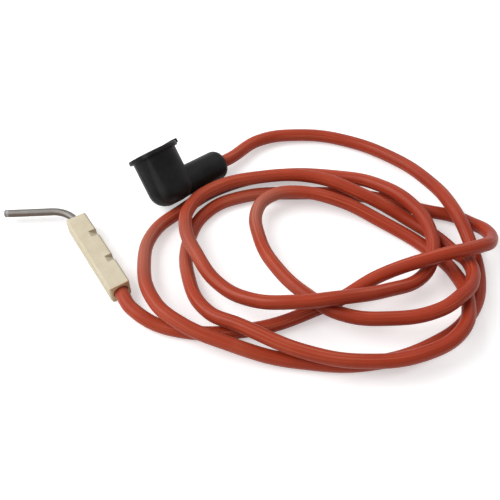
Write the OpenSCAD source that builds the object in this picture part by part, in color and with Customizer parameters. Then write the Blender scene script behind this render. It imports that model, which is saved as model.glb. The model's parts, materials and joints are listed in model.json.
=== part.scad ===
// Flame sensor probe: a bent electrode in a ceramic block, a silicone lead and an elbow boot.
// The block lies on its underside: +X runs along it to the electrode, +Y is the side it bends to.

/* [Ceramic block] */
// Length of the block
block_l = 52; // [48:1:80]
// Width of the block
block_w = 11; // [10.5:0.5:16]
// Height of the block
block_h = 11; // [10.5:0.5:16]
// Chamfer along the block's four long edges
edge_chamfer = 0.9; // [0.3:0.1:1.2]
// Radius of the upright corners at the lead's end
end_round = 1.6; // [0.5:0.1:2.5]
// Distance from the electrode's end to the first notch
notch_first = 15; // [8:0.5:20]
// Distance from one notch to the next
notch_pitch = 19; // [10:0.5:22]
// Length of a notch's floor along the block
notch_w = 4.2; // [1:0.1:5]
// Depth of a notch at the block's side
notch_drop = 3.5; // [1:0.1:4]
// Reach of a notch across the top of the block
notch_reach = 4.2; // [2:0.1:4.5]

/* [Electrode] */
// Diameter of the electrode
rod_d = 4; // [3:0.1:4.4]
// Straight length between the block and the bend
rod_neck = 0.5; // [0.5:0.5:20]
// Radius of the bend at the electrode's centre
bend_r = 16; // [5:0.5:20]
// Angle that the electrode turns through
bend_angle = 61; // [30:1:90]
// Straight length from the bend to the tip
tip_l = 25; // [10:0.5:60]
// Chamfer at the tip
tip_chamfer = 0.4; // [0.1:0.1:0.8]

/* [Splice inside the block] */
// Wall of the ferrule that joins the electrode to the lead
ferrule_wall = 0.7; // [0.4:0.1:0.9]
// Length of the ferrule over the electrode
ferrule_on_rod = 6; // [3:0.5:8]
// Length of the ferrule over the conductor
ferrule_on_core = 5; // [3:0.5:7]
// Length of the lead's jacket inside the block
lead_insert = 14; // [8:1:16]

/* [Lead] */
// Diameter of the lead over its jacket
lead_d = 7; // [6:0.1:7.2]
// Diameter of the stranded conductor
core_d = 1.6; // [1:0.1:2]
// Bare conductor between the jacket and a crimp
bare_core = 1.5; // [1:0.1:3]

/* [Elbow boot] */
// Outer diameter of the cup
cup_d = 24.5; // [23:0.5:32]
// Inner diameter of the mouth, where the insulator of the mating post fits
mouth_d = 19; // [17.5:0.5:21]
// Depth of the mouth from the rim to its shoulder
mouth_depth = 10; // [6:0.5:12]
// Inner diameter of the cavity round the terminal
cavity_d = 17; // [14:0.5:17]
// Length of the cup from its closed end to the rim
cup_l = 30; // [27:0.5:40]
// Wall across the closed end
cup_floor = 3; // [2:0.1:3.5]
// Radius round the closed end
cup_round = 7.5; // [4:0.5:8]
// Diameter of the rim's flange
flange_d = 28; // [26:0.5:36]
// Thickness of the rim's flange
flange_t = 2.4; // [1.5:0.1:4]
// Height of the nose's axis above the closed end
nose_rise = 8.3; // [8:0.1:12]
// Outer diameter of the nose
nose_d = 16; // [12:0.5:16]
// Length of the nose from the cup's axis
nose_l = 36; // [28:1:50]
// Radius round the nose's end
nose_round = 4; // [1:0.5:4]

/* [Terminal inside the boot] */
// Diameter of the post that the socket grips
post_d = 6.4; // [5:0.1:7]
// Wall of the socket and of the crimp barrel
sheet_t = 0.8; // [0.5:0.1:1.2]
// Drop from the mouth's shoulder to the socket's end
socket_sink = 0.2; // [0.1:0.1:2]
// Width of the two slots in the socket's wall
slot_w = 1; // [0.5:0.1:1.5]
// Distance from the socket's mouth to the ring's groove
groove_back = 3; // [2:0.5:4]
// Diameter of the retaining ring's wire
ring_wire = 1; // [0.6:0.1:1.2]
// Opening angle of the retaining ring
ring_gap = 50; // [20:5:90]

/* [How the boot lies] */
// Place of the elbow along the block
boot_x = 16; // [12:0.5:40]
// Place of the elbow across the block
boot_y = -51; // [-70:0.5:-45]
// Angle of the cup's mouth from upright
cup_lean = 49; // [40:1:75]
// Angle that the nose dips below level
nose_dip = 8; // [0:1:10]
// Heading of the nose about upright
nose_heading = 10; // [-5:1:15]

/* [Fits] */
// Radial clearance of the electrode in its bore
rod_gap = 0.1; // [0.05:0.05:0.3]
// Radial clearance round the thickest piece in the block's well
well_gap = 0.4; // [0.2:0.1:0.6]
// Depth of the retaining ring's groove
groove_depth = 0.3; // [0.1:0.1:0.4]
// Clearance of the retaining ring along its groove, each side
groove_gap = 0.1; // [0.05:0.05:0.2]

/* [Hidden] */

fine = 64;
cut = 1;
lead_sides = 10;
funnel = 1;
gusset_l = 2;
bend_lap = 0.3;
bend_thin = 0.03;

lead_r = lead_d / 2;
rod_r = rod_d / 2;
core_r = core_d / 2;
axis_z = block_h / 2;
rod_face = block_l / 2;
lead_face = -block_l / 2;

// Inside the block, from the lead's end to the electrode's end.
jacket_x = lead_face + lead_insert;
ferrule_x = jacket_x + bare_core;
ferrule_l = ferrule_on_core + ferrule_on_rod;
ferrule_r = rod_r + ferrule_wall;
rod_x = ferrule_x + ferrule_on_core;
well_r = max(lead_r, ferrule_r) + well_gap;
well_end = ferrule_x + ferrule_l + bare_core;

// The boot's own axes: the cup opens along +Z and the nose runs along -Y from the cup's axis.
cup_r = cup_d / 2;
mouth_r = mouth_d / 2;
cavity_r = cavity_d / 2;
nose_r = nose_d / 2;
rim = cup_l - nose_rise;
shoulder = rim - mouth_depth;
floor_z = cup_floor - nose_rise;
mouth_rise = cos(cup_lean) * cos(nose_dip);
cup_drop = cup_round + (cup_r - cup_round) * sqrt(1 - mouth_rise * mouth_rise)
    + (nose_rise - cup_round) * mouth_rise;
nose_drop = nose_r * cos(nose_dip) + (nose_l - nose_round) * sin(nose_dip);
boot_z = max(cup_drop, nose_drop);
boot_at = [boot_x, boot_y, boot_z];
nose_way = [
    sin(nose_heading) * cos(nose_dip),
    -cos(nose_heading) * cos(nose_dip),
    -sin(nose_dip)
];

// The terminal, in the boot's own axes.
socket_r = post_d / 2 + sheet_t;
barrel_r = core_r + sheet_t;
socket_floor = barrel_r + sheet_t / 2;
core_end = socket_r - sheet_t;
socket_top = shoulder - socket_sink;
barrel_start = cavity_r - bare_core;
ring_z = socket_top - groove_back;
groove_w = ring_wire + 2 * groove_gap;

// The lead's middle line, from inside the block to inside the boot. The numbers between the
// ends say how the loose lead lies: it runs along the floor and passes over itself in low humps.
lead_route = concat(
    [
        [jacket_x, 0, axis_z],
        [lead_face, 0, axis_z]
    ],
    [
        // Out to the far side, over the other turns, and round the tight far bend
        [-38, 0, 5.5], [-58, -12, 3.5], [-78, -44, 3.5], [-86, -82, 4.5], [-89, -111, 11],
        [-98, -136, 18.5], [-105, -160, 18.5], [-103, -170, 13.5], [-94, -177, 8], [-82, -176, 4],
        // Back along the boot's side and round the near bend
        [-61, -160, 3.5], [-42, -145, 3.5], [-16, -110, 3.5], [-3, -84, 3.5], [-2, -64, 3.5],
        [-14, -45, 3.5], [-37, -32, 5.5], [-61, -29, 9.5], [-77, -37, 12], [-105, -55, 11.5],
        // First wide turn at the far side
        [-123, -75, 11], [-135, -101, 12], [-135, -122, 12.5], [-125, -136, 10.5],
        [-106, -146, 6], [-89, -147, 3.5], [-56, -136, 5], [-37, -125, 8],
        // The short inner loop
        [-20, -108, 9.5], [-15, -95, 9], [-19, -84, 8.5], [-35, -75, 8], [-59, -71, 10],
        [-81, -74, 11.5], [-97, -81, 11.5], [-112, -98, 13], [-122, -118, 16.5],
        // Second turn at the far side, back over the first
        [-122, -132, 18], [-118, -143, 16], [-106, -153, 11], [-91, -155, 5.5],
        [-65, -150, 4.5], [-40, -136, 10.5], [-18, -121, 12],
        // The middle loop beside the boot
        [-1, -95, 11], [5, -71, 10.5], [0, -54, 11], [-11, -45, 11.5], [-30, -41, 11.5],
        [-51, -41, 11.5], [-69, -48, 14.5], [-84, -64, 18.5], [-92, -80, 19],
        // Third turn at the far side
        [-99, -107, 13.5], [-100, -128, 9.5], [-94, -140, 10], [-82, -149, 12],
        [-63, -153, 12.5], [-39, -148, 10], [-21, -136, 6.5],
        // The wide loop under the boot's nose and past the block
        [1, -107, 4], [8.5, -81, 3.5], [6, -52, 3.5], [-1, -31, 5], [-18, -17, 7],
        [-43, -10, 10.5], [-60, -14, 11], [-79, -27, 8.5], [-104, -52, 4], [-122, -79, 3.5],
        // Last turn at the far side and home to the boot
        [-130, -111, 3.5], [-127, -137, 3.5], [-115, -154, 4], [-97, -164, 7.5],
        [-75, -170, 12], [-51, -174, 9], [-24, -171, 5.5], [3, -158, 3.5], [22, -135, 4],
        [28, -115, 5]
    ],
    [
        boot_at + (nose_l + 2 * lead_r) * nose_way,
        boot_at + nose_l * nose_way,
        boot_at + cavity_r * nose_way
    ]
);

function unit(v) = v / norm(v);

// Direction of a route at point i, taken between its two neighbours.
function way_at(route, i) =
    unit(route[min(i + 1, len(route) - 1)] - route[max(i - 1, 0)]);

// One ring of a tube's skin, square to the route at point i.
function ring_at(route, i, r, sides) =
    let (
        way = way_at(route, i),
        side = unit(cross([0, 0, 1], way)),
        up = cross(way, side)
    )
    [
        for (k = [0:sides - 1])
            route[i] + r * (cos(360 * k / sides) * side + sin(360 * k / sides) * up)
    ];

// A solid tube swept along a route.
module swept_tube(route, r, sides) {
    last = len(route) - 1;
    points = [for (i = [0:last]) each ring_at(route, i, r, sides)];
    start_cap = [for (k = [0:sides - 1]) k];
    end_cap = [for (k = [sides - 1:-1:0]) last * sides + k];
    walls = [
        for (i = [0:last - 1], k = [0:sides - 1])
            let (
                a = i * sides + k,
                b = i * sides + (k + 1) % sides
            )
            [a, a + sides, b + sides, b]
    ];
    polyhedron(points, concat([start_cap, end_cap], walls), convexity = 12);
}

// A cylinder along +X at the height of the block's axis.
module on_axis(x, r, length) {
    translate([x, 0, axis_z]) rotate([0, 90, 0]) cylinder(r = r, h = length, $fn = fine);
}

// Places its children in the boot's own axes.
module in_boot() {
    translate(boot_at)
        rotate([0, 0, nose_heading])
            rotate([nose_dip, 0, 0])
                rotate([0, cup_lean, 0])
                    children();
}

// Turns its children from +Z to the nose's direction.
module along_nose() {
    rotate([90, 0, 0]) children();
}

// Cross-section of the block, chamfered on its long edges.
module block_section() {
    half = block_w / 2;
    c = edge_chamfer;
    polygon([
        [-half + c, 0], [half - c, 0], [half, c], [half, block_h - c],
        [half - c, block_h], [-half + c, block_h], [-half, block_h - c], [-half, c]
    ]);
}

// Plan of the block, with round corners at the lead's end.
module block_plan() {
    r = end_round;
    half = block_w / 2;
    for (side = [-1, 1])
        translate([lead_face + r, side * (half - r)]) circle(r = r, $fn = fine);
    translate([lead_face, r - half]) square([block_l, block_w - 2 * r]);
    translate([lead_face + r, -half]) square([block_l - r, block_w]);
}

// A wedge cut into the top at the -Y side, square to the block at its electrode end.
module notch(x) {
    half = block_w / 2;
    translate([x, -half, block_h])
        rotate([90, 0, 90])
            translate([0, 0, -notch_w / 2])
                linear_extrude(notch_w) polygon([
                    [-cut, cut], [-cut, -notch_drop], [0, -notch_drop],
                    [notch_reach, 0], [notch_reach, cut]
                ]);
}

module ceramic_block() {
    color("cornsilk") difference() {
        intersection() {
            translate([lead_face, 0, 0])
                rotate([90, 0, 90])
                    linear_extrude(block_l) block_section();
            linear_extrude(block_h) block_plan();
        }
        on_axis(well_end - cut, rod_r + rod_gap, rod_face - well_end + 2 * cut);
        on_axis(lead_face - cut, well_r, well_end - lead_face + cut);
        for (i = [0, 1]) notch(rod_face - notch_first - i * notch_pitch);
    }
}

// Half section of the electrode's straight end, chamfered at the tip.
module tip_half() {
    polygon([
        [0, -bend_lap], [rod_r, -bend_lap], [rod_r, tip_l - tip_chamfer],
        [rod_r - tip_chamfer, tip_l], [0, tip_l]
    ]);
}

// The rod is a hair thinner round its bend, and both straight lengths run a little way into it.
module electrode_rod() {
    bend_x = rod_face + rod_neck;
    color("silver") translate([bend_x, 0, axis_z]) union() {
        translate([rod_x - bend_x, 0, 0]) rotate([0, 90, 0])
            cylinder(r = rod_r, h = bend_x - rod_x + bend_lap, $fn = fine);
        translate([0, bend_r, 0])
            rotate([0, 0, -90])
                rotate_extrude(angle = bend_angle, $fn = fine)
                    translate([bend_r, 0]) circle(r = rod_r - bend_thin, $fn = fine);
        translate([bend_r * sin(bend_angle), bend_r * (1 - cos(bend_angle)), 0])
            rotate([0, 90, bend_angle])
                rotate_extrude($fn = fine) tip_half();
    }
}

module splice_ferrule() {
    color("gainsboro") difference() {
        on_axis(ferrule_x, ferrule_r, ferrule_l);
        on_axis(ferrule_x - cut, core_r, ferrule_on_core + 2 * cut);
        on_axis(rod_x, rod_r, ferrule_on_rod + cut);
    }
}

// Cement between the ferrule and the well's wall, with the electrode through it.
module cement_seal() {
    color("wheat") difference() {
        on_axis(ferrule_x, well_r, well_end - ferrule_x);
        on_axis(ferrule_x - cut, ferrule_r, ferrule_l + cut);
        on_axis(ferrule_x, rod_r, well_end - ferrule_x + cut);
    }
}

module probe_core() {
    color("peru") on_axis(jacket_x, core_r, bare_core + ferrule_on_core);
}

module sensor_lead() {
    color("firebrick") swept_tube(lead_route, lead_r, lead_sides);
}

// Half section of the cup's outside, from its closed end up to the flange.
module cup_half() {
    translate([0, -nose_rise]) {
        intersection() {
            translate([cup_r - cup_round, cup_round]) circle(r = cup_round, $fn = fine);
            square([cup_r, cup_round]);
        }
        square([cup_r - cup_round, cup_l]);
        translate([0, cup_round]) square([cup_r, cup_l - cup_round]);
        translate([0, cup_l - flange_t]) square([flange_d / 2, flange_t]);
    }
}

// Half section of the nose, round at its free end.
module nose_half() {
    square([nose_r - nose_round, nose_l]);
    square([nose_r, nose_l - nose_round]);
    intersection() {
        translate([nose_r - nose_round, nose_l - nose_round]) circle(r = nose_round, $fn = fine);
        translate([0, nose_l - nose_round]) square([nose_r, nose_round]);
    }
}

module elbow_boot() {
    color([0.15, 0.15, 0.15]) in_boot() difference() {
        union() {
            rotate_extrude($fn = fine) cup_half();
            along_nose() rotate_extrude($fn = fine) nose_half();
        }
        translate([0, 0, floor_z]) cylinder(r = cavity_r, h = rim - floor_z, $fn = fine);
        translate([0, 0, shoulder]) cylinder(r = mouth_r, h = mouth_depth + cut, $fn = fine);
        translate([0, 0, rim - funnel])
            cylinder(r1 = mouth_r, r2 = mouth_r + funnel, h = funnel, $fn = fine);
        along_nose() cylinder(r = lead_r, h = nose_l + cut, $fn = fine);
    }
}

// A crimp barrel on the conductor, a hub at the elbow, and a slotted socket up the cup.
module crimp_terminal() {
    color("goldenrod") in_boot() difference() {
        union() {
            along_nose() cylinder(r = barrel_r, h = barrel_start, $fn = fine);
            translate([0, 0, -socket_floor])
                cylinder(r = socket_r, h = socket_top + socket_floor, $fn = fine);
        }
        along_nose() translate([0, 0, core_end]) cylinder(r = core_r, h = barrel_start, $fn = fine);
        translate([0, 0, socket_floor])
            cylinder(d = post_d, h = socket_top - socket_floor + cut, $fn = fine);
        translate([-slot_w / 2, -socket_r - cut, socket_floor + gusset_l])
            cube([slot_w, 2 * (socket_r + cut), socket_top]);
        translate([0, 0, ring_z - groove_w / 2]) rotate_extrude($fn = fine)
            translate([socket_r - groove_depth, 0]) square([groove_depth + cut, groove_w]);
    }
}

module retaining_ring() {
    color("lightgray") in_boot() translate([0, 0, ring_z])
        rotate([0, 0, ring_gap / 2])
            rotate_extrude(angle = 360 - ring_gap, $fn = fine)
                translate([socket_r - groove_depth + ring_wire / 2, 0])
                    circle(d = ring_wire, $fn = fine);
}

module boot_core() {
    color("peru") in_boot() along_nose()
        translate([0, 0, core_end]) cylinder(r = core_r, h = cavity_r - core_end, $fn = fine);
}

ceramic_block();
electrode_rod();
splice_ferrule();
cement_seal();
probe_core();
sensor_lead();
elbow_boot();
crimp_terminal();
retaining_ring();
boot_core();
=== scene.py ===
# %% [markdown]
# # A flame sensor probe, dressed for the studio
#
# The probe is an ionisation electrode for a gas burner. A bent rod stands in the flame, a
# ceramic block insulates it, and a long silicone lead carries its tiny current to a rubber
# boot that pushes over the burner control's terminal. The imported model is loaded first,
# because every piece made below takes its place from it. All lengths are in metres.

import json
import math

import bmesh
import bpy
from mathutils import Matrix, Vector


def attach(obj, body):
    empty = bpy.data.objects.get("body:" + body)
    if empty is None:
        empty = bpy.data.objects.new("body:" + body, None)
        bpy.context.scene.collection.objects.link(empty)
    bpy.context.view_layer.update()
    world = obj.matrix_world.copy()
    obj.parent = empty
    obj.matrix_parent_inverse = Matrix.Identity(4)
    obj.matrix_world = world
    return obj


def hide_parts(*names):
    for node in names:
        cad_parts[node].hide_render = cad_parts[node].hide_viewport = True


mm = 0.001

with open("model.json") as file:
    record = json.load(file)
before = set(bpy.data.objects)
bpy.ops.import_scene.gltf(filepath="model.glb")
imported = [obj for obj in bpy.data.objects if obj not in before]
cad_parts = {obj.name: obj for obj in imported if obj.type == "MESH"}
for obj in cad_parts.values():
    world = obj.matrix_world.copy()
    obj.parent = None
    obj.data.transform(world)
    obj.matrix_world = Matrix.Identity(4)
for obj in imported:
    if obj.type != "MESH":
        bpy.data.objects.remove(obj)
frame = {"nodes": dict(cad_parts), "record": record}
nodes = frame["nodes"]
mounts = {mount["name"]: mount for mount in frame["record"]["mounts"]}
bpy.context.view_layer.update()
print("pieces in the model:", ", ".join(sorted(nodes)))

# %% [markdown]
# ## The camera
#
# A small part is seen best from a raised camera: close enough to show the ceramic's grain
# and high enough to look into the loops of the lead. The camera stands
# 0.39 m from the middle of the loops and looks down at them at a little over 50 degrees.

# %% Camera
aim = Vector((-0.0342, -0.0698, 0.0))
look_heading = math.radians(-32.2)
look_down = math.radians(52)
camera_distance = 0.392

look = Vector((
    math.cos(look_heading) * math.cos(look_down),
    math.sin(look_heading) * math.cos(look_down),
    -math.sin(look_down),
))
camera_data = bpy.data.cameras.new("studio_camera")
camera_data.lens = 54
camera_data.sensor_width = 36
camera = bpy.data.objects.new("studio_camera", camera_data)
camera.location = aim - look * camera_distance
camera.rotation_euler = look.to_track_quat("-Z", "Y").to_euler()
bpy.context.scene.collection.objects.link(camera)
bpy.context.scene.camera = camera
print("camera at", [round(c, 3) for c in camera.location])

# %% [markdown]
# ## The lead
#
# A high-temperature lead is a stranded conductor in a soft silicone jacket 7 mm thick, nearly
# 2 m long. It could be a swept mesh, but a Bezier curve with a round bevel keeps its thickness
# and stays smooth through every turn, so the lead is one curve of one spline. Automatic
# handles give the even bends that such a springy lead takes. The points say how it lies: out
# of the block, around in flat loops, over itself in long low humps, and into the boot. The
# curve's bevel is one metre wide and every point scales it down to the lead's radius: the
# points then carry the true thickness, and the curve's box comes out right.
#
# The points between the two ends weren't laid by hand. A fitting script worked them out,
# with the turns kept clear of each other, and they were rounded to whole and half
# millimetres, so the list is data and no model of how to lay a cord.

# %% Points along the lead, in millimetres
lead_radius = 3.5 * mm
block_end = -26
lead_points = [
    # In the block's well, and out of it
    (-12, 0, 5.5), (block_end, 0, 5.5),
    # Out to the far side, over the other turns, and round the tight far bend
    (-38, 0, 5.5), (-58, -12, 3.5), (-78, -44, 3.5), (-86, -82, 4.5), (-89, -111, 11),
    (-98, -136, 18.5), (-105, -160, 18.5), (-103, -170, 13.5), (-94, -177, 8), (-82, -176, 4),
    # Back along the boot's side and round the near bend
    (-61, -160, 3.5), (-42, -145, 3.5), (-16, -110, 3.5), (-3, -84, 3.5), (-2, -64, 3.5),
    (-14, -45, 3.5), (-37, -32, 5.5), (-61, -29, 9.5), (-77, -37, 12), (-105, -55, 11.5),
    # First wide turn at the far side
    (-123, -75, 11), (-135, -101, 12), (-135, -122, 12.5), (-125, -136, 10.5),
    (-106, -146, 6), (-89, -147, 3.5), (-56, -136, 5), (-37, -125, 8),
    # The short inner loop
    (-20, -108, 9.5), (-15, -95, 9), (-19, -84, 8.5), (-35, -75, 8), (-59, -71, 10),
    (-81, -74, 11.5), (-97, -81, 11.5), (-112, -98, 13), (-122, -118, 16.5),
    # Second turn at the far side, back over the first
    (-122, -132, 18), (-118, -143, 16), (-106, -153, 11), (-91, -155, 5.5),
    (-65, -150, 4.5), (-40, -136, 10.5), (-18, -121, 12),
    # The middle loop beside the boot
    (-1, -95, 11), (5, -71, 10.5), (0, -54, 11), (-11, -45, 11.5), (-30, -41, 11.5),
    (-51, -41, 11.5), (-69, -48, 14.5), (-84, -64, 18.5), (-92, -80, 19),
    # Third turn at the far side
    (-99, -107, 13.5), (-100, -128, 9.5), (-94, -140, 10), (-82, -149, 12),
    (-63, -153, 12.5), (-39, -148, 10), (-21, -136, 6.5),
    # The wide loop under the boot's nose and past the block
    (1, -107, 4), (8.5, -81, 3.5), (6, -52, 3.5), (-1, -31, 5), (-18, -17, 7),
    (-43, -10, 10.5), (-60, -14, 11), (-79, -27, 8.5), (-104, -52, 4), (-122, -79, 3.5),
    # Last turn at the far side and home to the boot
    (-130, -111, 3.5), (-127, -137, 3.5), (-115, -154, 4), (-97, -164, 7.5),
    (-75, -170, 12), (-51, -174, 9), (-24, -171, 5.5), (3, -158, 3.5), (22, -135, 4),
    (28, -115, 5),
]

# %% [markdown]
# The lead ends in the boot, so the boot's own axes are needed before the lead is finished.
# The record names the boot's mouth as a bore with a middle and an axis. Walking back down
# that axis gives the elbow, and the nose points away from it almost level.

# %% Where the boot is
elbow_to_mouth = 16.2 * mm
nose_heading = math.radians(10)
nose_dip = math.radians(8)
cup_lean = math.radians(49)
nose_length = 36 * mm
cavity_radius = 8.5 * mm

cup_axis = Vector(mounts["boot_mouth"]["axis"])
elbow = Vector(mounts["boot_mouth"]["pos_m"]) - elbow_to_mouth * cup_axis
boot_turn = (
    Matrix.Rotation(nose_heading, 4, "Z")
    @ Matrix.Rotation(nose_dip, 4, "X")
    @ Matrix.Rotation(cup_lean, 4, "Y")
)
boot_place = Matrix.Translation(elbow) @ boot_turn
nose_axis = boot_turn @ Vector((0, -1, 0))
print("elbow at", [round(c * 1000, 2) for c in elbow], "mm")
print("the cup's axis is off the record's by", (boot_turn @ Vector((0, 0, 1)) - cup_axis).length)

# %% [markdown]
# The route is the list, then a straight run into the nose and up to the terminal. It becomes
# one Bezier spline, and its automatic handles are worked out before they are looked at.

# %% Lay the lead
route = [Vector(point) * mm for point in lead_points] + [
    elbow + (nose_length + 2 * lead_radius) * nose_axis,
    elbow + nose_length * nose_axis,
    elbow + cavity_radius * nose_axis,
]
lead_curve = bpy.data.curves.new("silicone_lead", "CURVE")
lead_curve.dimensions = "3D"
lead_curve.bevel_depth = 1.0
lead_curve.bevel_resolution = 8
lead_curve.resolution_u = 10
lead_curve.use_fill_caps = True
spline = lead_curve.splines.new("BEZIER")
spline.bezier_points.add(len(route) - 1)
for point, place in zip(spline.bezier_points, route):
    point.co = place
    point.radius = lead_radius
    point.handle_left_type = point.handle_right_type = "AUTO"
lead = bpy.data.objects.new("silicone_lead", lead_curve)
bpy.context.scene.collection.objects.link(lead)
bpy.context.view_layer.update()
print("lead:", len(route), "points")

# %% [markdown]
# A smooth handle can dip below its own point, and the jacket would then sink into the table.
# Where a handle does that, both handles of the point are made level, so the lead still runs
# smoothly through it and rests on the table.

# %% Keep the lead on the table
levelled = 0
for point in spline.bezier_points:
    lowest = min(point.handle_left.z, point.handle_right.z)
    point.handle_left_type = point.handle_right_type = "FREE"
    if lowest < lead_radius:
        point.handle_left.z = point.handle_right.z = point.co.z
        levelled += 1
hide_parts("sensor_lead")
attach(lead, "root")
print("levelled", levelled, "points of the lead")

# %% [markdown]
# ## Helpers for meshes
#
# Every new mesh is built with bmesh and then finished in the same way: doubles merged,
# normals turned outwards, faces shaded smooth and edges sharper than an angle kept sharp.

# %% Mesh helpers
def finish_mesh(name, shape, sharp=30):
    """Makes an object of a bmesh, with its normals outwards and its sharp edges marked."""
    bmesh.ops.remove_doubles(shape, verts=shape.verts, dist=0.001 * mm)
    bmesh.ops.recalc_face_normals(shape, faces=shape.faces)
    for face in shape.faces:
        face.smooth = True
    for edge in shape.edges:
        if len(edge.link_faces) == 2:
            edge.smooth = edge.calc_face_angle() < math.radians(sharp)
    mesh = bpy.data.meshes.new(name)
    shape.to_mesh(mesh)
    shape.free()
    piece = bpy.data.objects.new(name, mesh)
    bpy.context.scene.collection.objects.link(piece)
    return piece


def turned_shape(outline, axis, steps=96):
    """Spins an outline of (radius, height) pairs once round an axis of the boot."""
    shape = bmesh.new()
    across = Vector((1, 0, 0))
    corners = [shape.verts.new(across * r * mm + axis * h * mm) for r, h in outline]
    edges = [shape.edges.new(pair) for pair in zip(corners, corners[1:])]
    bmesh.ops.spin(
        shape, geom=corners + edges, cent=(0, 0, 0), axis=axis,
        angle=math.tau, steps=steps, use_merge=True,
    )
    bmesh.ops.remove_doubles(shape, verts=shape.verts, dist=0.001 * mm)
    bmesh.ops.recalc_face_normals(shape, faces=shape.faces)
    return shape


def rounded(centre, radius, start, end, steps=8):
    """Points of an arc in an outline, from one angle to the other in degrees."""
    turns = [math.radians(start + (end - start) * i / steps) for i in range(steps + 1)]
    return [
        (centre[0] + radius * math.cos(a), centre[1] + radius * math.sin(a)) for a in turns
    ]


print("helpers ready: finish_mesh, turned_shape, rounded")

# %% [markdown]
# ## The elbow boot
#
# The boot is moulded in black rubber: a cup that pushes over the control's insulator, and a
# nose at right angles that grips the lead. A mould makes both as turned forms with soft
# edges, so each is an outline spun round its own axis. The two are then joined by a Boolean,
# which gives the crisp inner corner that the real moulding has, and a second Boolean hollows
# the cup and the nose.

# %% Outlines of the cup and the nose, in millimetres from the elbow
cup_radius = 12.25
cup_bottom = -8.3
cup_corner = 9
rim = 21.7
flange_radius = 14
flange_thick = 2.4
inner_corner = 0.5
nose_radius = 8
nose_end = 36
nose_corner = 4
lip = 0.7

cup_outline = (
    [(0, cup_bottom)]
    + rounded((cup_radius - cup_corner, cup_bottom + cup_corner), cup_corner, -90, 0, 14)
    + rounded((cup_radius + inner_corner, rim - flange_thick - inner_corner), inner_corner, 180, 90, 5)
    + rounded((flange_radius - lip, rim - flange_thick + lip), lip, -90, 0, 6)
    + rounded((flange_radius - lip, rim - lip), lip, 0, 90, 6)
    + [(0, rim)]
)
nose_outline = (
    [(0, 0), (nose_radius, 0)]
    + rounded((nose_radius - nose_corner, nose_end - nose_corner), nose_corner, 0, 90, 12)
    + [(0, nose_end)]
)
print("cup outline:", len(cup_outline), "points; nose outline:", len(nose_outline))

# %% [markdown]
# A rubber mould parts in the plane of the two axes and leaves a thin raised seam all round,
# so each form also gets a flat plate of its own outline, 0.5 mm thick and 0.12 mm proud. A
# low nub on the rim tells a finger which way the nose points.

# %% Mould seam and rim nub
seam_proud = 0.12
seam_wide = 0.5
seam_corner = cup_corner + seam_proud
nose_seam_corner = nose_corner + seam_proud
cup_seam = (
    [(0, cup_bottom - seam_proud)]
    + rounded((cup_radius - cup_corner, cup_bottom + cup_corner), seam_corner, -90, 0, 14)
    + [(cup_radius + seam_proud, rim - flange_thick), (0, rim - flange_thick)]
)
nose_seam = (
    [(0, 2), (nose_radius + seam_proud, 2)]
    + rounded((nose_radius - nose_corner, nose_end - nose_corner), nose_seam_corner, 0, 90, 12)
    + [(0, nose_end + seam_proud)]
)


def plate_shape(outline, axis, side, thick):
    """Makes a flat plate, the outline and its mirror image, with the axis up its middle."""
    shape = bmesh.new()
    back = Vector((-thick / 2, 0, 0)) * mm
    ring = [axis * h + side * r for r, h in outline]
    ring += [axis * h - side * r for r, h in reversed(outline) if r > 0]
    face = shape.faces.new([shape.verts.new(back + point * mm) for point in ring])
    grown = bmesh.ops.extrude_face_region(shape, geom=[face])["geom"]
    front = [part for part in grown if isinstance(part, bmesh.types.BMVert)]
    bmesh.ops.translate(shape, verts=front, vec=Vector((thick, 0, 0)) * mm)
    return shape


def nub_shape(width, depth, height, middle):
    """Makes a small block with soft edges."""
    shape = bmesh.new()
    bmesh.ops.create_cube(shape, size=mm)
    bmesh.ops.scale(shape, vec=(width, depth, height), verts=shape.verts)
    bmesh.ops.bevel(
        shape, geom=shape.edges[:], affect="EDGES", offset=0.35 * mm, segments=3,
        profile=0.5, material=-1,
    )
    bmesh.ops.translate(shape, verts=shape.verts, vec=Vector(middle) * mm)
    return shape


print("seam outlines:", len(cup_seam), "and", len(nose_seam), "points")

# %% [markdown]
# The hollow is a stepped bore: a mouth for the control's insulator, a shoulder that it seats
# on, a narrower cavity round the terminal, and the lead's own hole along the nose.

# %% Outlines of the hollow
mouth_radius = 9.5
shoulder = 11.7
cavity_wall = 8.5
cavity_floor = -5.3
cavity_corner = 1.5
funnel = 1.0
hole_radius = 3.5
hole_chamfer = 0.5
past_the_end = 2

hollow_outline = (
    [(0, cavity_floor)]
    + rounded(
        (cavity_wall - cavity_corner, cavity_floor + cavity_corner), cavity_corner, -90, 0, 6,
    )
    + [(cavity_wall, shoulder), (mouth_radius, shoulder), (mouth_radius, rim - funnel)]
    + [(mouth_radius + funnel, rim), (mouth_radius + funnel, rim + past_the_end)]
    + [(0, rim + past_the_end)]
)
hole_outline = [
    (0, 4), (hole_radius, 4), (hole_radius, nose_end - hole_chamfer),
    (hole_radius + hole_chamfer, nose_end), (hole_radius + hole_chamfer, nose_end + past_the_end),
    (0, nose_end + past_the_end),
]
print("hollow outline:", len(hollow_outline), "points; hole outline:", len(hole_outline))

# %% [markdown]
# The order of the Booleans matters: everything solid is joined first, so that the two
# hollows then cut through the seams and the nose as well as the cup.

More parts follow.
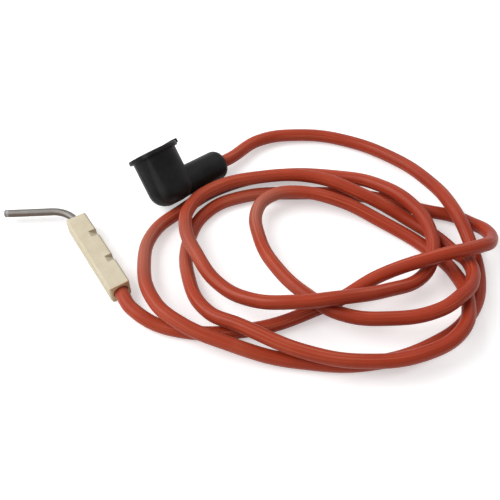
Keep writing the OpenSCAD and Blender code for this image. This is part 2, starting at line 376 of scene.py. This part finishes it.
# %% Join the cup and the nose, then hollow them
up_the_cup = Vector((0, 0, 1))
down_the_nose = Vector((0, -1, 0))
boot = finish_mesh("rubber_boot", turned_shape(cup_outline, up_the_cup))
tools = [
    ("nose_form", turned_shape(nose_outline, down_the_nose), "UNION"),
    ("cup_seam", plate_shape(cup_seam, up_the_cup, down_the_nose, seam_wide), "UNION"),
    ("nose_seam", plate_shape(nose_seam, down_the_nose, up_the_cup, seam_wide), "UNION"),
    ("rim_nub", nub_shape(10, 4.2, 2.4, (0, -12.3, rim - 0.2)), "UNION"),
    ("hollow_form", turned_shape(hollow_outline, up_the_cup), "DIFFERENCE"),
    ("hole_form", turned_shape(hole_outline, down_the_nose), "DIFFERENCE"),
]
for name, form, operation in tools:
    tool = finish_mesh(name, form)
    step = boot.modifiers.new(name, "BOOLEAN")
    step.operation = operation
    step.solver = "EXACT"
    step.object = tool
    bpy.context.view_layer.update()
    made = bpy.data.meshes.new_from_object(
        boot.evaluated_get(bpy.context.evaluated_depsgraph_get())
    )
    boot.modifiers.clear()
    boot.data = made
    bpy.data.objects.remove(tool)
print("boot:", len(boot.data.polygons), "faces")

# %% [markdown]
# Booleans leave long thin faces where two forms cross. Merging what coincides and marking
# only real edges as sharp keeps the shading clean. The finished mesh is then carried to its
# place, so the object itself stays at the origin.

# %% Put the boot in its place
shape = bmesh.new()
shape.from_mesh(boot.data)
bpy.data.objects.remove(boot)
shape.transform(boot_place)
boot = finish_mesh("rubber_boot", shape, sharp=35)
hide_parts("elbow_boot")
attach(boot, "root")

# %% [markdown]
# The boot and what is inside it hang on the lead.

print("lead laid into the boot")

# %% [markdown]
# ## The ceramic block
#
# The insulator is pressed steatite, fired hard and left unglazed. Its form is right in the
# model, but fired ceramic never has a knife edge, so a merged copy of the model's mesh gets
# a small soft bevel. The copy's flat faces are dissolved first, which leaves the bevel long
# clean edges to follow.

# %% Soften the block's edges
block_shape = bmesh.new()
block_shape.from_mesh(nodes["ceramic_block"].data)
bmesh.ops.remove_doubles(block_shape, verts=block_shape.verts, dist=0.002 * mm)
bmesh.ops.dissolve_limit(
    block_shape, angle_limit=math.radians(1), verts=block_shape.verts, edges=block_shape.edges,
)
block = finish_mesh("ceramic_insulator", block_shape)
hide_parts("ceramic_block")
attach(block, "root")

soften = block.modifiers.new("soft_edges", "BEVEL")
soften.width = 0.22 * mm
soften.segments = 3
soften.limit_method = "ANGLE"
soften.angle_limit = math.radians(30)
soften.harden_normals = True
print("block:", len(block.data.polygons), "faces before the bevel")

# %% [markdown]
# ## Helpers for materials
#
# All finishes are node trees on the Principled shader. Patterns read Object coordinates,
# which are metres here, so a noise scale of 1000 gives features about a millimetre wide.

# %% Material helpers
def new_finish(name, roughness, metallic=0.0):
    """A material with its Principled shader, its tree and an Object coordinate output."""
    finish = bpy.data.materials.new(name)
    finish.use_nodes = True
    tree = finish.node_tree
    shader = tree.nodes["Principled BSDF"]
    shader.inputs["Roughness"].default_value = roughness
    shader.inputs["Metallic"].default_value = metallic
    place = tree.nodes.new("ShaderNodeTexCoord").outputs["Object"]
    return finish, tree, shader, place


def noise(tree, place, scale, detail=3.0, rough=0.5):
    """A noise pattern, as its grey output."""
    node = tree.nodes.new("ShaderNodeTexNoise")
    node.inputs["Scale"].default_value = scale
    node.inputs["Detail"].default_value = detail
    node.inputs["Roughness"].default_value = rough
    tree.links.new(place, node.inputs["Vector"])
    return node.outputs["Fac"]


def ramp(tree, value, *stops):
    """A colour ramp; each stop is a position and a colour."""
    node = tree.nodes.new("ShaderNodeValToRGB")
    while len(node.color_ramp.elements) < len(stops):
        node.color_ramp.elements.new(0.5)
    for element, (position, colour) in zip(node.color_ramp.elements, stops):
        element.position = position
        element.color = (*colour, 1)
    tree.links.new(value, node.inputs["Fac"])
    return node.outputs["Color"]


def between(tree, share, low, high):
    """A grey value turned into a number from low to high."""
    node = tree.nodes.new("ShaderNodeMapRange")
    node.inputs["From Min"].default_value = 0.3
    node.inputs["From Max"].default_value = 0.7
    node.inputs["To Min"].default_value = low
    node.inputs["To Max"].default_value = high
    tree.links.new(share, node.inputs["Value"])
    return node.outputs["Result"]


def mixed(tree, share, first, second, way="MIX"):
    """Two colours mixed by a share."""
    node = tree.nodes.new("ShaderNodeMix")
    node.data_type = "RGBA"
    node.blend_type = way
    for socket, value in ((node.inputs["Factor"], share), (node.inputs[6], first),
                          (node.inputs[7], second)):
        if isinstance(value, (int, float)):
            socket.default_value = value
        elif isinstance(value, tuple):
            socket.default_value = (*value, 1)
        else:
            tree.links.new(value, socket)
    return node.outputs[2]


def relief(tree, height, depth, under=None):
    """A bump of the given depth in metres, on top of another one if there is one."""
    node = tree.nodes.new("ShaderNodeBump")
    node.inputs["Distance"].default_value = depth
    tree.links.new(height, node.inputs["Height"])
    if under is not None:
        tree.links.new(under, node.inputs["Normal"])
    return node.outputs["Normal"]


def stretched(tree, place, scale):
    """Coordinates scaled unevenly, so that a pattern runs as streaks."""
    node = tree.nodes.new("ShaderNodeMapping")
    node.inputs["Scale"].default_value = scale
    tree.links.new(place, node.inputs["Vector"])
    return node.outputs["Vector"]


def along(tree, place, direction, start, end):
    """A share that grows from 0 at start to 1 at end, measured along a direction."""
    measure = tree.nodes.new("ShaderNodeVectorMath")
    measure.operation = "DOT_PRODUCT"
    measure.inputs[1].default_value = direction
    tree.links.new(place, measure.inputs[0])
    node = tree.nodes.new("ShaderNodeMapRange")
    node.inputs["From Min"].default_value = start
    node.inputs["From Max"].default_value = end
    tree.links.new(measure.outputs["Value"], node.inputs["Value"])
    return node.outputs["Result"]


def near(tree, place, middle, reach):
    """A share that falls from 1 at a middle to 0 at a distance from it."""
    measure = tree.nodes.new("ShaderNodeVectorMath")
    measure.operation = "DISTANCE"
    measure.inputs[1].default_value = middle
    tree.links.new(place, measure.inputs[0])
    node = tree.nodes.new("ShaderNodeMapRange")
    node.interpolation_type = "SMOOTHSTEP"
    node.inputs["From Min"].default_value = reach
    node.inputs["From Max"].default_value = 0.0
    tree.links.new(measure.outputs["Value"], node.inputs["Value"])
    return node.outputs["Result"]


def dress(piece, finish):
    """Gives a piece one finish, in place of what it had."""
    piece.data.materials.clear()
    piece.data.materials.append(finish)


print("material helpers ready")

# %% [markdown]
# ## Silicone jacket
#
# High-temperature silicone is red-brown and satin. The extruder leaves faint lines along
# it, handling leaves paler dusty patches, and the surface scatters light in a soft bloom, so
# the finish has a little sheen. The turns nearer the boot and the ceramic, on the key lamp's
# side, are painted paler: a painted light gradient across the coil. Two places on them carry
# a pale haze, a painted reflection of the lamps on the bends. The streaks read the curve's
# own UV map, because they run along the lead wherever it goes.

# %% Silicone finish
silicone, tree, shader, place = new_finish("red_silicone", roughness=0.5)
patches = noise(tree, place, 45, detail=4)
jacket = ramp(
    tree, patches, (0.32, (0.326, 0.031, 0.0090)), (0.55, (0.386, 0.040, 0.0125)),
    (0.78, (0.432, 0.064, 0.0265)),
)
# Painted light: a gradient makes the turns on the key lamp's side paler.
painted_light_gradient = along(tree, place, (0.53, 0.85, 0), -155 * mm, -85 * mm)
jacket = mixed(tree, painted_light_gradient, jacket, (1.08, 1.28, 1.38), "MULTIPLY")
lines = tree.nodes.new("ShaderNodeTexCoord").outputs["UV"]
lines = noise(tree, stretched(tree, lines, (30, 24, 1)), 1.0, detail=2)
scuffs = ramp(tree, lines, (0.30, (0.4, 0.4, 0.4)), (0.46, (0, 0, 0)))
jacket = mixed(tree, scuffs, jacket, (0.58, 0.17, 0.10))
# Painted reflection: two pale hazes on the bends, where the lamps would reflect.
for middle, reach, most in (((-14, -24, 9), 36, 0.46), ((-21, -86, 9), 26, 0.50)):
    painted_reflection_haze = near(tree, place, Vector(middle) * mm, reach * mm)
    painted_reflection_haze = ramp(tree, painted_reflection_haze, (0.0, (0, 0, 0)), (1.0, (most, most, most)))
    jacket = mixed(tree, painted_reflection_haze, jacket, (0.49, 0.25, 0.185))
dust = noise(tree, place, 900, detail=3)
tree.links.new(
    mixed(tree, between(tree, lines, 0.0, 0.5), jacket, (0.28, 0.026, 0.0085)),
    shader.inputs["Base Color"],
)
tree.links.new(between(tree, dust, 0.36, 0.50), shader.inputs["Roughness"])
tree.links.new(
    relief(tree, dust, 0.03 * mm, relief(tree, lines, 0.05 * mm)), shader.inputs["Normal"],
)
shader.inputs["Specular IOR Level"].default_value = 0.20
shader.inputs["Sheen Weight"].default_value = 0.04
shader.inputs["Sheen Roughness"].default_value = 0.4
dress(lead, silicone)
print("silicone on", lead.name)

# %% [markdown]
# ## Moulded rubber
#
# The boot is black rubber straight from the mould: matt, very slightly pebbled, with a thin
# grey bloom in places. A painted highlight runs in faint pale streaks down one side of the
# cup, so one pattern reads the boot's own axes and is drawn out along them. The rubber hardly
# reflects, so its specular level is low.

# %% Rubber finish
rubber, tree, shader, place = new_finish("black_rubber", roughness=0.55)
bloom = noise(tree, place, 90, detail=5)
pebble = noise(tree, place, 1400, detail=2)
# Painted highlight: pale streaks down one side of the cup, turned to lie where a lamp's reflection
# runs, and kept off the nose.
boot_axes = tree.nodes.new("ShaderNodeMapping")
boot_axes.vector_type = "TEXTURE"
boot_axes.inputs["Location"].default_value = elbow
boot_axes.inputs["Rotation"].default_value = (
    boot_turn @ Matrix.Rotation(math.radians(-22), 4, "Z")
).to_euler()
boot_axes.inputs["Scale"].default_value = (8 * mm, 8 * mm, 60 * mm)
tree.links.new(place, boot_axes.inputs["Vector"])
streaks = noise(tree, boot_axes.outputs["Vector"], 1.0, detail=1)
black = ramp(tree, bloom, (0.35, (0.007, 0.007, 0.007)), (0.75, (0.020, 0.020, 0.020)))
painted_highlight_streaks = ramp(tree, streaks, (0.54, (0, 0, 0)), (0.68, (0.8, 0.8, 0.8)))
on_the_nose = along(
    tree, place, nose_axis, elbow.dot(nose_axis) + 10 * mm, elbow.dot(nose_axis) + 14 * mm,
)
painted_highlight_streaks = mixed(tree, on_the_nose, painted_highlight_streaks, (0.0, 0.0, 0.0))
tree.links.new(mixed(tree, painted_highlight_streaks, black, (0.045, 0.045, 0.045)), shader.inputs["Base Color"])
tree.links.new(between(tree, bloom, 0.40, 0.52), shader.inputs["Roughness"])
tree.links.new(relief(tree, pebble, 0.05 * mm), shader.inputs["Normal"])
shader.inputs["Specular IOR Level"].default_value = 0.10
dress(boot, rubber)
print("rubber on", boot.name)

# %% [markdown]
# ## Unglazed ceramic
#
# Steatite fires to a warm cream. Close up it is grainy, with darker specks, and its faces
# carry faint cloudy stains from handling. The end face round the lead is painted darker brown as
# shade.

# %% Ceramic finish
steatite, tree, shader, place = new_finish("cream_steatite", roughness=0.8)
cloud = noise(tree, place, 130, detail=4)
grain = noise(tree, place, 2600, detail=3, rough=0.6)
specks = noise(tree, place, 1500, detail=1)
body = ramp(
    tree, cloud, (0.30, (0.600, 0.525, 0.380)), (0.55, (0.655, 0.585, 0.440)),
    (0.80, (0.690, 0.625, 0.480)),
)
body = mixed(tree, between(tree, grain, 0.0, 0.22), body, (0.56, 0.49, 0.35))
fleck = ramp(tree, specks, (0.70, (0, 0, 0)), (0.76, (1, 1, 1)))
body = mixed(tree, fleck, body, (0.48, 0.41, 0.29))
# Painted shade: the end face round the lead is darkened brown.
end_face = -block_end * mm
end_face_painted_shade = along(tree, place, (-1, 0, 0), end_face - 0.6 * mm, end_face - 0.2 * mm)
body = mixed(tree, end_face_painted_shade, body, (1.0, 0.82, 0.66), "MULTIPLY")
tree.links.new(body, shader.inputs["Base Color"])
tree.links.new(between(tree, grain, 0.72, 0.9), shader.inputs["Roughness"])
tree.links.new(relief(tree, grain, 0.06 * mm), shader.inputs["Normal"])
shader.inputs["Specular IOR Level"].default_value = 0.3
dress(block, steatite)
print("steatite on", block.name)

# %% [markdown]
# ## Electrode metal
#
# The electrode is heat-resistant alloy, drawn through a die and bent cold. One ramp by
# height paints its reflections and shade: a lighter grey on the upper side, darker along the
# ridge, and a dark brown on the lower side; a cloudy stain breaks them up. These painted
# tones stay put when the lamps move. A brighter band round the tip is a painted
# highlight near its cut end.

# %% Electrode finish
alloy, tree, shader, place = new_finish("drawn_alloy", roughness=0.4, metallic=1.0)
clouds = noise(tree, place, 160, detail=4)
scratches = noise(tree, place, 1500, detail=3, rough=0.6)
# Painted reflection and shade by height: lighter grey above, darker ridge, dark brown below.
height = along(tree, place, (0, 0, 1), 6.5 * mm, 7.5 * mm)
metal = ramp(
    tree, height, (0.05, (0.140, 0.106, 0.087)), (0.35, (0.240, 0.224, 0.214)),
    (0.75, (0.195, 0.183, 0.175)), (1.0, (0.175, 0.165, 0.158)),
)
stain = ramp(tree, clouds, (0.3, (0.86, 0.84, 0.82)), (0.7, (1.0, 1.0, 1.0)))
metal = mixed(tree, 1.0, metal, stain, "MULTIPLY")

tip_way = Vector(mounts["electrode"]["axis"])
half_length = mounts["electrode"]["dims"]["length_mm"] / 2 * mm
cut_end = tip_way.dot(Vector(mounts["electrode"]["pos_m"])) + half_length
# Painted highlight: a brighter band and a duller ring just behind the tip's cut end.
for start, end, tone in ((-2.2, -1.4, (0.29, 0.275, 0.265)), (-1.1, -0.9, (0.21, 0.20, 0.195))):
    share = along(tree, place, tip_way, cut_end + start * mm, cut_end + end * mm)
    metal = mixed(tree, share, metal, tone)
tree.links.new(metal, shader.inputs["Base Color"])
tree.links.new(between(tree, scratches, 0.50, 0.62), shader.inputs["Roughness"])
tree.links.new(relief(tree, scratches, 0.012 * mm), shader.inputs["Normal"])
dress(nodes["electrode_rod"], alloy)
print("alloy on electrode_rod")

# %% [markdown]
# ## Hidden pieces
#
# The ferrule, the cement, the conductor's bare ends, the terminal and its spring ring are
# seen only from inside the boot or in a section. They still get their own finishes: plated
# steel, set cement, copper strands, pressed brass and bright wire.

# %% Finishes of the hidden pieces
def plain_metal(name, dull, bright, roughness, wear_scale):
    """A worn metal finish with two tones and fine scuffs."""
    finish, tree, shader, place = new_finish(name, roughness, metallic=1.0)
    wear = noise(tree, place, wear_scale, detail=4)
    scuffs = noise(tree, place, wear_scale * 8, detail=2)
    tree.links.new(ramp(tree, wear, (0.35, dull), (0.7, bright)), shader.inputs["Base Color"])
    tree.links.new(
        between(tree, scuffs, roughness - 0.08, roughness + 0.1), shader.inputs["Roughness"],
    )
    tree.links.new(relief(tree, scuffs, 0.02 * mm), shader.inputs["Normal"])
    return finish


dress(nodes["splice_ferrule"],
      plain_metal("plated_steel", (0.45, 0.44, 0.43), (0.62, 0.62, 0.61), 0.3, 300))
dress(nodes["crimp_terminal"],
      plain_metal("pressed_brass", (0.50, 0.36, 0.15), (0.72, 0.56, 0.27), 0.3, 350))
dress(nodes["retaining_ring"],
      plain_metal("spring_wire", (0.42, 0.42, 0.42), (0.66, 0.66, 0.66), 0.22, 500))
copper = plain_metal("copper_strands", (0.55, 0.26, 0.15), (0.80, 0.42, 0.27), 0.32, 900)
dress(nodes["probe_core"], copper)
dress(nodes["boot_core"], copper)

cement, tree, shader, place = new_finish("set_cement", roughness=0.9)
lumps = noise(tree, place, 700, detail=5, rough=0.7)
tree.links.new(
    ramp(tree, lumps, (0.3, (0.50, 0.44, 0.33)), (0.7, (0.68, 0.62, 0.50))),
    shader.inputs["Base Color"],
)
tree.links.new(relief(tree, lumps, 0.2 * mm), shader.inputs["Normal"])
dress(nodes["cement_seal"], cement)
print("finishes on the hidden pieces")

# %% [markdown]
# ## Table, lights and background
#
# The part lies on a plain white table in soft light. The table glows a little for the camera
# alone, so that it reads as white paper while it still takes the part's shadow, and the lamps
# and the sky together light a colour about as it is written.

# %% White table
table_radius = 0.8
table_drop = 0.02 * mm
table_glow = 0.45

sheet = bmesh.new()
bmesh.ops.create_circle(sheet, cap_ends=True, segments=96, radius=table_radius)
sheet.transform(Matrix.Translation((0, 0, -table_drop)))
table = finish_mesh("table", sheet)

paper = bpy.data.materials.new("white_paper")
paper.use_nodes = True
tree = paper.node_tree
shader = tree.nodes["Principled BSDF"]
shader.inputs["Base Color"].default_value = (0.82, 0.82, 0.82, 1)
shader.inputs["Roughness"].default_value = 0.9
shader.inputs["Specular IOR Level"].default_value = 0.0
seen = tree.nodes.new("ShaderNodeLightPath")
either = tree.nodes.new("ShaderNodeMath")
either.operation = "MAXIMUM"
tree.links.new(seen.outputs["Is Camera Ray"], either.inputs[0])
tree.links.new(seen.outputs["Is Glossy Ray"], either.inputs[1])
glow = tree.nodes.new("ShaderNodeMath")
glow.operation = "MULTIPLY"
glow.inputs[1].default_value = table_glow
tree.links.new(either.outputs[0], glow.inputs[0])
shader.inputs["Emission Color"].default_value = (1, 1, 1, 1)
tree.links.new(glow.outputs[0], shader.inputs["Emission Strength"])
dress(table, paper)
print("table made")

# %% [markdown]
# The world is two things at once. The camera and the reflections see plain white, and
# everything else gets a weaker white light, so the background stays clean while the lamps
# still shape the part.

# %% Sky
sky_light = 0.36

world = bpy.data.worlds.new("studio")
bpy.context.scene.world = world
world.use_nodes = True
tree = world.node_tree
tree.nodes.clear()
seen = tree.nodes.new("ShaderNodeLightPath")
camera_or_glossy = tree.nodes.new("ShaderNodeMath")
camera_or_glossy.operation = "MAXIMUM"
tree.links.new(seen.outputs["Is Camera Ray"], camera_or_glossy.inputs[0])
tree.links.new(seen.outputs["Is Glossy Ray"], camera_or_glossy.inputs[1])
any_seen = tree.nodes.new("ShaderNodeMath")
any_seen.operation = "MAXIMUM"
tree.links.new(camera_or_glossy.outputs[0], any_seen.inputs[0])
tree.links.new(seen.outputs["Is Transmission Ray"], any_seen.inputs[1])
fill = tree.nodes.new("ShaderNodeBackground")
fill.inputs["Color"].default_value = (1, 1, 1, 1)
fill.inputs["Strength"].default_value = sky_light
white = tree.nodes.new("ShaderNodeBackground")
white.inputs["Color"].default_value = (1, 1, 1, 1)
white.inputs["Strength"].default_value = 1.0
choose = tree.nodes.new("ShaderNodeMixShader")
out = tree.nodes.new("ShaderNodeOutputWorld")
tree.links.new(any_seen.outputs[0], choose.inputs[0])
tree.links.new(fill.outputs[0], choose.inputs[1])
tree.links.new(white.outputs[0], choose.inputs[2])
tree.links.new(choose.outputs[0], out.inputs["Surface"])
print("sky: white behind the part,", sky_light, "as light")

# %% [markdown]
# Two large square lamps give the soft light. The key lamp is high on one side and brings out
# the round of the lead, and a weaker one opposite it keeps the shadows open.

# %% Soft lamps
def soft_lamp(name, place, target, size, watts):
    """A square area lamp that looks at a target."""
    data = bpy.data.lights.new(name, "AREA")
    data.shape = "SQUARE"
    data.size = size
    data.energy = watts
    lamp = bpy.data.objects.new(name, data)
    lamp.location = place
    lamp.rotation_euler = (Vector(target) - Vector(place)).to_track_quat("-Z", "Y").to_euler()
    bpy.context.scene.collection.objects.link(lamp)
    return lamp


soft_lamp("key_lamp", (0.46, 0.62, 0.85), aim, 1.0, 14.0)
soft_lamp("side_lamp", (0.21, -0.81, 0.8), aim, 0.9, 2.5)
print("two soft lamps")

# %% [markdown]
# ## View
#
# The Standard view shows a colour as it is written.

# %% View
bpy.context.scene.view_settings.view_transform = "Standard"
